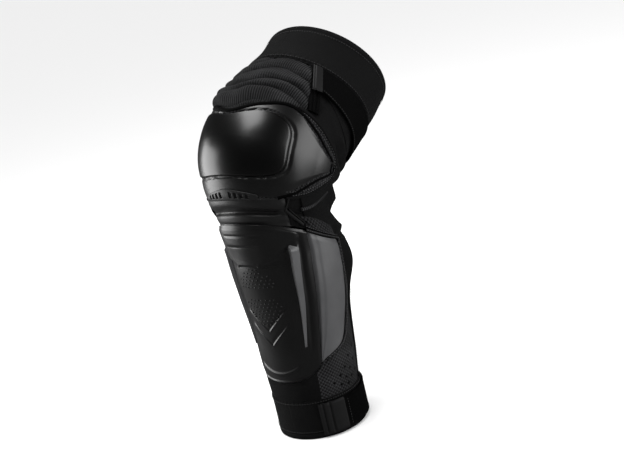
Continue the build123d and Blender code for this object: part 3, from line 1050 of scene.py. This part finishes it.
def calf_cuff():
    def cuff_lift(u, v, height, turn):
        pucker = 0.35 * sin(radians(turn) * 60) * ease((height - 38) / 8)
        return -0.1 + 0.4 * rumple(height, turn, 40, 2.0) + pucker - 0.9 * line_bump(height - 45.6, 1.2)

    band = wall("calf_cuff_cloth", hoop(7.0, 46.2, cuff_lift, 360, 40), CUFF_CLOTH, 2.0)
    mount(cut(band, *ring_edges(7.0, 46.2)), "shin", "cuff_fabric", "calf_cuff_band")

    def hem_lift(u, v, height, turn):
        return -0.9 + 1.0 * sin(pi * v) ** 0.4 - 0.6 * line_bump(height - 7.2, 0.8)

    hem = wall("calf_cuff_hem_fold", hoop(0.2, 7.6, hem_lift, 180, 16), CUFF_CLOTH, 2.4)
    mount(hem, "shin", "cuff_fabric", "calf_cuff_hem")
    cuff_stitching("calf", "shin", (9.0, 44.0), 3.0)
    grip_print("calf", "shin", (1.0, 29.5), -3.6, 14, 240)


def cuff_stitching(part, body, heights, pitch):
    """Rows of dark stitches round a cuff."""
    for row, height in enumerate(heights):
        edge = [(height, turn) for turn in range(0, 361, 20)]
        name = f"{part}_cuff_stitching_{row}"
        seam = stitch_row(name, edge, out=0.4, pitch=pitch, material=DARK_THREAD)
        mount(seam, body, "cuff_fabric")


def grip_print(part, body, span, level, waves, cells):
    """Wavy silicone lines printed inside a cuff."""
    def lift(u, v, height, turn):
        wave = sin(radians(turn) * waves) * 2.4
        return level - 0.5 * folds((height + wave) / 6)

    grip = wall(f"{part}_grip_print", hoop(*span, lift, cells, 40), SILICONE, 0.9)
    mount(grip, body, "silicone", f"{part}_grip_band")


STRAP_LOW, STRAP_HIGH = 4.5, 42.0


def flat_band(low, high, turns, lift, across, along):
    """A flat band between two heights and two turns."""
    first, last = turns
    edges = [[(height, first), (height, (first + last) / 2), (height, last)] for height in (low, high)]
    return ruled(edges[0], edges[1], lift, across, along)


def strap_lift(u, v, height, turn):
    """Elastic webbing: flat, with thicker woven rims."""
    return 2.6 + 0.35 * ease((abs(v - 0.5) - 0.42) / 0.04) + 0.15 * rumple(height, turn, 30, 6.0)


def tab_lift(u, v, height, turn):
    """Moulded closing tab: two deep grooves near its free end and a rolled rim."""
    grooves = line_bump((u - 0.17) * 30, 1.0) + line_bump((u - 0.42) * 30, 1.2)
    return 4.1 - 1.5 * grooves * ease(v * 12) + rolled(u, 16, 0.9) + rolled(v, 14, 0.7)


def pile_lift(level):
    """The nap of a hook or loop patch at a level above the leg."""
    def lift(u, v, height, turn):
        return level + 0.12 * sin(height * 3.1) * sin(turn * 3.7)

    return lift


def closing_patches(part, body, grid):
    """The hook pile under a strap's tab and the loop pile on the cuff below it."""
    for kind, level, thickness, rider in (("hook", 1.75, 0.5, f"{part}_tab"), ("loop", 0.9, 0.6, body)):
        pile = wall(f"{part}_{kind}_pile", grid(pile_lift(level)), HOOK_PILE, thickness, 0.2)
        mount(pile, rider, "hook_and_loop", f"{part}_{kind}_patch")


def anchor_stitching(part, body, heights, turns):
    """Two rows of stitches across a strap's sewn end."""
    for end, turn in zip(("near", "far"), turns):
        seam = [(height, turn) for height in heights]
        mount(stitch_row(f"{part}_anchor_stitching_{end}", seam, out=2.9), body, "elastic_webbing")


def calf_strap():
    strap = flat_band(STRAP_LOW, STRAP_HIGH, (72.6, 180.2), strap_lift, 130, 40)
    strap = wall("calf_strap_elastic", strap, WEBBING, 1.8, 0.4)
    mount(strap, "calf_strap", "elastic_webbing", "calf_strap")
    anchor = flat_band(STRAP_LOW, STRAP_HIGH, (180.4, 238.0), strap_lift, 80, 40)
    anchor = wall("calf_strap_fixed_end", anchor, WEBBING, 1.8, 0.4)
    mount(anchor, "shin", "elastic_webbing", "calf_strap_anchor")
    tab = flat_band(STRAP_LOW, STRAP_HIGH, (39.6, 73.0), tab_lift, 110, 50)
    mount(wall("calf_strap_grip_tab", tab, TAB_RUBBER, 2.0, 0.5), "calf_tab", "strap_tab", "calf_strap_tab")
    closing_patches("calf", "shin", lambda lift: flat_band(8.0, 38.5, (43, 69), lift, 40, 40))
    anchor_stitching("calf", "shin", (STRAP_LOW + 2, STRAP_HIGH - 2), (231.0, 236.5))
    seam = [(STRAP_LOW + 2, 78.0), (STRAP_HIGH - 2, 78.0)]
    row = stitch_row("calf_strap_stitching", seam, out=2.9, material=DARK_THREAD)
    mount(row, "calf_strap", "elastic_webbing")


calf_cuff()
calf_strap()

# ---- cloth round the knee

CALF_EDGE = [(238.6, 72), (231.6, 86), (222.6, 101), (213.4, 118), (209.6, 135), (210, 158), (210.4, 180)]
KNEE_FOLD_LOW = [
    (268.5, 72), (278.5, 88), (292, 100), (305, 110), (303, 134), (294, 158), (290, 180),
]
KNEE_FOLD_HIGH = [
    (324.0, 66), (319.0, 84), (311, 98), (299.0, 108), (296.6, 134), (288.2, 158), (284.2, 180),
]
THIGH_EDGE = [(371.6, 54.0), (355, 81), (345, 103), (341, 122), (340, 140), (340, 160), (340, 180)]


def bellows_lift(u, v, height, turn):
    """Rubber bellows under the knee: a wide roll, a deep groove, and a low roll."""
    groove = -5.4 * line_bump(height - 255.4 + 0.02 * abs(turn), 2.2) * ease((58 - abs(turn)) / 16)
    roll = 0.8 * line_bump(height - 260.0, 3.0)
    return -1.2 + roll + groove - 1.8 * ease((abs(turn) - 52) / 8) - 0.8 * (1 - ease((height - 246) / 3))


def bellows():
    low = both_ways([(246.0, 0), (245.4, 30), (242.6, 60)])
    high = both_ways([(263.6, 0), (263.6, 30), (264.6, 58)])
    body = wall("knee_bellows_rubber", ruled(low, high, bellows_lift, 150, 64), SOFT_RUBBER, 2.2)
    stretch(body, UNDER_KNEE, "matte_shell", "knee_bellows")
    for side, sign in SIDES:
        lower = on_side([(256.0, 54.4), (251.6, 59.2), (247.4, 64.0), (243.2, 68.6)], sign)
        lower_two = on_side([(256.8, 58.0), (252.6, 62.4), (248.6, 66.8), (244.4, 71.4)], sign)
        upper = on_side([(255.6, 54.4), (260.0, 57.4), (264.4, 60.0)], sign)
        for name, edge, width in (("lower", lower, 3.6), ("outer", lower_two, 1.5), ("upper", upper, 1.8)):
            strip_name = f"bellows_side_welt_{name}_{side}"
            strip = piping(strip_name, edge, width, 1.3, TAB_RUBBER, out=-0.6, steps=50)
            stretch(strip, UNDER_KNEE, "strap_tab")


def side_cloth_lift(u, v, height, turn):
    """Two soft folds beside the bellows."""
    return -2.3 + 1.2 * folds(v * 2.0) * sin(pi * v)


def side_weave_lift(u, v, height, turn):
    """A sewn-on patch with rolled edges."""
    return 1.5 + rolled(v, 8, 1.8) + rolled(u, 8, 1.8)


def lower_gusset():
    """Stretch cloth behind and beside the knee, from the calf up to the knee cup."""
    low, high = round_the_back(CALF_EDGE), round_the_back(KNEE_FOLD_LOW)

    def lift(u, v, height, turn):
        away = abs(turn - 180)
        beside = ease((away - 64) / 12)
        phase = 0.10 + 2.0 * v + 0.14 * rumple(height, turn, 44, 11.0)
        depth = (7.6 - 4.6 * beside) * sin(pi * min(max(v * 0.94 + 0.05, 0), 1)) ** 0.4
        rough = 0.6 * rumple(height, turn, 16, 4.0) * sin(pi * v)
        tucked = -2.6 * ease((v - 0.88) / 0.06)
        return -1.6 + depth * peaks(phase) + rough + tucked

    cloth_piece = wall("knee_back_cloth_lower", ruled(low, high, lift, 220, 70), STRETCH, 1.6)
    cut(cloth_piece, low, high, "gathered", BEHIND_KNEE_SPARE)
    stretch(cloth_piece, UNDER_KNEE, "stretch_fabric", "knee_gusset_lower")
    for side, sign in SIDES:
        side_low = on_side([(244, 56), (240.4, 66), (238.4, 75)], sign)
        side_high = on_side([(265.4, 55), (265.4, 66), (266.4, 79)], sign)
        cover = ruled(side_low, side_high, side_cloth_lift, 50, 50)
        cover = wall(f"knee_side_cloth_{side}", cover, STRETCH, 1.4)
        stretch(cut(cover, side_low, side_high), UNDER_KNEE, "stretch_fabric")
        patch_low = on_side([(241.4, 71.5), (236, 81), (229, 92), (221, 106)], sign)
        patch_high = on_side([(251, 67), (249.5, 79), (245, 92), (236, 107)], sign)
        patch = ruled(patch_low, patch_high, side_weave_lift, 60, 24)
        patch = wall(f"knee_side_weave_{side}", patch, BALLISTIC, 1.4)
        stretch(patch, UNDER_KNEE, "ballistic_weave")


def upper_gusset():
    """Stretch cloth behind the knee, from the knee cup up to the thigh."""
    low, high = round_the_back(KNEE_FOLD_HIGH), round_the_back(THIGH_EDGE)

    def lift(u, v, height, turn):
        away = abs(turn - 180)
        beside = ease((away - 72) / 12)
        phase = 0.1 + 2.0 * v + 0.12 * rumple(height, turn, 40, 21.0)
        depth = (6.0 - 5.4 * beside) * sin(pi * min(max(v * 0.92 + 0.02, 0), 1)) ** 0.5
        rough = 0.5 * rumple(height, turn, 16, 14.0) * sin(pi * v)
        return -1.6 + depth * peaks(phase) + rough - 1.8 * ease((away - 105) / 5)

    cloth_piece = wall("knee_back_cloth_upper", ruled(low, high, lift, 220, 70), STRETCH, 1.6)
    cut(cloth_piece, low, high, "gathered", BEHIND_THIGH_SPARE)
    stretch(cloth_piece, BEHIND_THIGH, "stretch_fabric", "knee_gusset_upper")


CUFF_SEAM = 390.4
GATHER_LOW = both_ways([(316.4, 0), (322.4, 28), (327.0, 54), (326.0, 67.0)])
GATHER_HIGH = both_ways([(CUFF_SEAM, turn) for turn in (0, 18.5, 36, 45.0)])
TAPE_FRONT = [(331.2, 63.0), (CUFF_SEAM, 41.0)]
TAPE_REAR = [(333.8, 72.6), (CUFF_SEAM, 51.0)]


def gather_lift(u, v, height, turn):
    """Padded rib knit over the knee, gathered into uneven horizontal folds."""
    lean = 0.10 * sin(2.2 * pi * u + 0.6) + 0.20 * rumple(height * 1.5, turn, 46, 31.0)
    phase = 0.30 + 4.0 * v ** 0.9 + lean * 2.0
    tuck = ease((0.60 - u) / 0.1) * line_bump((v - 0.34 + 0.10 * (u - 0.5)) * 60, 3.0)
    depth = 8.6 * sin(pi * min(max(v, 0.02), 0.98)) ** 0.4
    depth *= 0.78 + 0.34 * rumple(height, turn, 20, 33.0)
    pinch = ease(min(u, 1 - u) / 0.10)
    ledge = 5.0 * exp(-((v - 0.10) / 0.10) ** 2) * ease((20 - abs(turn + 22)) / 20 + 0.3)
    sewn = ease(v / 0.05)
    return -4.6 + 1.2 * sewn + pinch * sewn * (0.2 + depth * folds(phase) + ledge - 3.0 * tuck)


def tape_lift(u, v, height, turn):
    """Elastic tape with three woven ridges, lower where the strap's tab covers it."""
    under_tab = -1.8 * ease((height - 348) / 8)
    return -0.9 + 1.5 * folds(v * 3) + 0.3 * rumple(height, turn, 20, 9.0) + under_tab


def gather():
    panel = ruled(GATHER_LOW, GATHER_HIGH, gather_lift, 220, 190)
    panel = wall("gathered_knee_panel", panel, RIB_KNIT, 2.2)
    cut(panel, GATHER_LOW, GATHER_HIGH, "gathered", GATHER_SPARE)
    stretch(panel, OVER_KNEE, "ribbed_knit", "gather_panel")
    for side, sign in SIDES:
        front, rear = on_side(TAPE_FRONT, sign), on_side(TAPE_REAR, sign)
        tape = wall(f"elastic_side_tape_{side}", ruled(front, rear, tape_lift, 100, 36), WEBBING, 1.6)
        stretch(tape, BESIDE_KNEE, "stretch_fabric", f"gather_tape_{side}")


bellows()
lower_gusset()
upper_gusset()
gather()

# ---- thigh

THIGH_REAR_LOW = [
    (369.8, 53.6), (353.4, 81), (343.4, 103), (339.6, 122), (338.8, 140), (338.8, 160), (338.8, 180),
]
THIGH_REAR_TURNS = (46, 74, 96, 117, 138, 159, 180)
CUFF_FOOT = 390.0
CUFF_HEM = 438.8
CUFF_RIM = 446.0


def thigh_rear():
    low = round_the_back(THIGH_REAR_LOW)
    high = round_the_back([(390.6, turn) for turn in THIGH_REAR_TURNS])

    def lift(u, v, height, turn):
        away = abs(turn - 180)
        front = -1.8 * ease((away - 112) / 8)
        return -0.7 + 0.7 * rumple(height, turn, 26, 17.0) - 1.2 * line_bump(away * 1.3, 1.2) + front

    back = wall("thigh_back_cloth", ruled(low, high, lift, 220, 60), STRETCH, 1.5)
    mount(cut(back, low, high), "thigh", "stretch_fabric", "thigh_rear_panel")


def thigh_cuff():
    def cuff_lift(u, v, height, turn):
        gathers = sin(radians(turn) * 70 + 2 * rumple(height, turn, 30, 1.0))
        pucker = 0.5 * gathers * ease((402 - height) / 10)
        seam = -1.6 * line_bump(height - 390.8, 1.3)
        return -0.2 + 0.8 * rumple(height, turn, 44, 12.0) + pucker + seam

    band = wall("thigh_cuff_cloth", hoop(CUFF_FOOT, CUFF_HEM + 0.4, cuff_lift, 420, 60), CUFF_CLOTH, 2.0)
    mount(cut(band, *ring_edges(CUFF_FOOT, CUFF_HEM)), "thigh", "cuff_fabric", "thigh_cuff_band")

    def hem_lift(u, v, height, turn):
        return -1.2 + 1.5 * sin(pi * min(v * 1.1, 1.0)) ** 0.45

    hem = wall("thigh_cuff_hem_fold", hoop(CUFF_HEM, CUFF_RIM, hem_lift, 240, 18), CUFF_CLOTH, 2.2, 0.4)
    mount(hem, "thigh", "cuff_fabric", "thigh_cuff_hem")
    cuff_stitching("thigh", "thigh", (393.4, 437.0), 3.2)
    grip_print("thigh", "thigh", (420.5, 445.4), -3.4, 18, 260)


THIGH_STRAP_LOW = [(361, 61.8), (357, 84), (353, 106), (347, 130), (344, 156), (343, 180.2)]
THIGH_STRAP_HIGH = [(388.6, 50.6), (388.4, 78), (387.4, 104), (386, 130), (385, 156), (384, 180.2)]
ANCHOR_LOW = [(343, 180.4), (343, 203), (345, 226), (350, 250)]
ANCHOR_HIGH = [(384, 180.4), (384, 203), (385, 226), (387, 250)]


def thigh_strap():
    strap = ruled(THIGH_STRAP_LOW, THIGH_STRAP_HIGH, strap_lift, 170, 50)
    strap = wall("thigh_strap_elastic", strap, WEBBING, 1.8, 0.4)
    mount(strap, "thigh_strap", "elastic_webbing", "thigh_strap")
    anchor = ruled(ANCHOR_LOW, ANCHOR_HIGH, strap_lift, 90, 50)
    anchor = wall("thigh_strap_fixed_end", anchor, WEBBING, 1.8, 0.4)
    mount(anchor, "thigh", "elastic_webbing", "thigh_strap_anchor")

    def thigh_tab_lift(u, v, height, turn):
        return 4.0 - 0.8 * line_bump((v - 0.2) * 10, 0.8) + rolled(v, 9, 0.9) + rolled(u, 14, 0.8)

    tab = ruled([(356.6, 54.6), (389.6, 42.8)], [(359.6, 62.6), (389.6, 50.8)], thigh_tab_lift, 80, 40)
    tab = wall("thigh_strap_grip_tab", tab, TAB_RUBBER, 1.9, 0.5)
    mount(tab, "thigh_tab", "strap_tab", "thigh_strap_tab")
    front, rear = [(363, 53.6), (385, 45.2)], [(365, 58.4), (385, 50.4)]
    closing_patches("thigh", "thigh", lambda lift: ruled(front, rear, lift, 30, 16))
    hem = shifted(THIGH_STRAP_LOW, 1.8)
    row = stitch_row("thigh_strap_stitching", hem, out=3.0, material=DARK_THREAD)
    mount(row, "thigh_strap", "elastic_webbing")
    anchor_stitching("thigh", "thigh", (352, 385), (243.0, 248.5))


thigh_rear()
thigh_cuff()
thigh_strap()

# ---- stage and camera

FLOOR_SIZE = 40.0
ROOM_LIGHT = 1.05
ROOM_GLANCE = 0.05
VIEW_AZIMUTH = 41.8
VIEW_ELEVATION = 15.2
VIEW_ROLL = 13.0
VIEW_DISTANCE = 1.4
VIEW_LENS = 70.2
SENSOR_WIDTH = 36.0
VIEW_SHIFT = (0.0032, 0.0016)
FLOOR_TONE = (0.9, 0.9, 0.9, 1)
FLOOR_GLANCE = (0.05, 0.05, 0.05, 1)
AIM = Vector((0.0, 0.050, 0.215))

# name, azimuth, elevation, distance, width and height, power
SOFTBOXES = (
    ("top_box", -50, 82, 1.3, (1.5, 0.55), 20),
    ("left_box", -64, 4, 0.85, (0.62, 0.6), 6.5),
    ("right_box", 114, 8, 1.4, (1.3, 1.0), 17),
)


def stage():
    """A wide pale floor in even light, which polished surfaces see as a dim room."""
    bm = bmesh.new()
    bmesh.ops.create_grid(bm, x_segments=1, y_segments=1, size=FLOOR_SIZE)
    pale, w, shader = blank("pale_floor")
    gloss = w.node("ShaderNodeLightPath").outputs["Is Glossy Ray"]
    shade = w.node("ShaderNodeMix", data_type="RGBA")
    w.plug(gloss, shade.inputs[0])
    shade.inputs[6].default_value = FLOOR_TONE
    shade.inputs[7].default_value = FLOOR_GLANCE
    w.plug(shade.outputs[2], shader.inputs["Base Color"])
    shader.inputs["Roughness"].default_value = 0.9
    wall("floor", bm, pale)
    world = bpy.data.worlds.new("studio")
    world.use_nodes = True
    sky = Wiring(world.node_tree)
    glance = sky.node("ShaderNodeLightPath").outputs["Is Glossy Ray"]
    background = world.node_tree.nodes["Background"]
    background.inputs["Color"].default_value = (1, 1, 1, 1)
    sky.plug(sky.remap(glance, 0.0, 1.0, ROOM_LIGHT, ROOM_GLANCE), background.inputs["Strength"])
    bpy.context.scene.world = world
    bpy.context.scene.view_settings.view_transform = "Standard"


def place_round(obj, azimuth, elevation, distance, roll=0.0):
    """Puts a light or the camera round the guard, aimed at its middle."""
    a, e = radians(azimuth), radians(elevation)
    back = Vector((sin(a) * cos(e), -cos(a) * cos(e), sin(e)))
    obj.location = AIM + back * distance
    obj.rotation_mode = "QUATERNION"
    turned = Quaternion((0, 0, 1), radians(-roll))
    obj.rotation_quaternion = (-back).to_track_quat("-Z", "Y") @ turned
    bpy.context.scene.collection.objects.link(obj)


def softbox(name, azimuth, elevation, distance, size, power):
    """A flat area light."""
    light = bpy.data.lights.new(name, "AREA")
    light.shape = "RECTANGLE"
    light.size, light.size_y = size
    light.energy = power
    obj = bpy.data.objects.new(name, light)
    obj.visible_camera = False
    place_round(obj, azimuth, elevation, distance)


def camera():
    data = bpy.data.cameras.new("view")
    data.lens = VIEW_LENS
    data.sensor_width = SENSOR_WIDTH
    data.shift_x, data.shift_y = VIEW_SHIFT
    obj = bpy.data.objects.new("view", data)
    place_round(obj, VIEW_AZIMUTH, VIEW_ELEVATION, VIEW_DISTANCE, VIEW_ROLL)
    bpy.context.scene.camera = obj


stage()
camera()
for box in SOFTBOXES:
    softbox(*box)
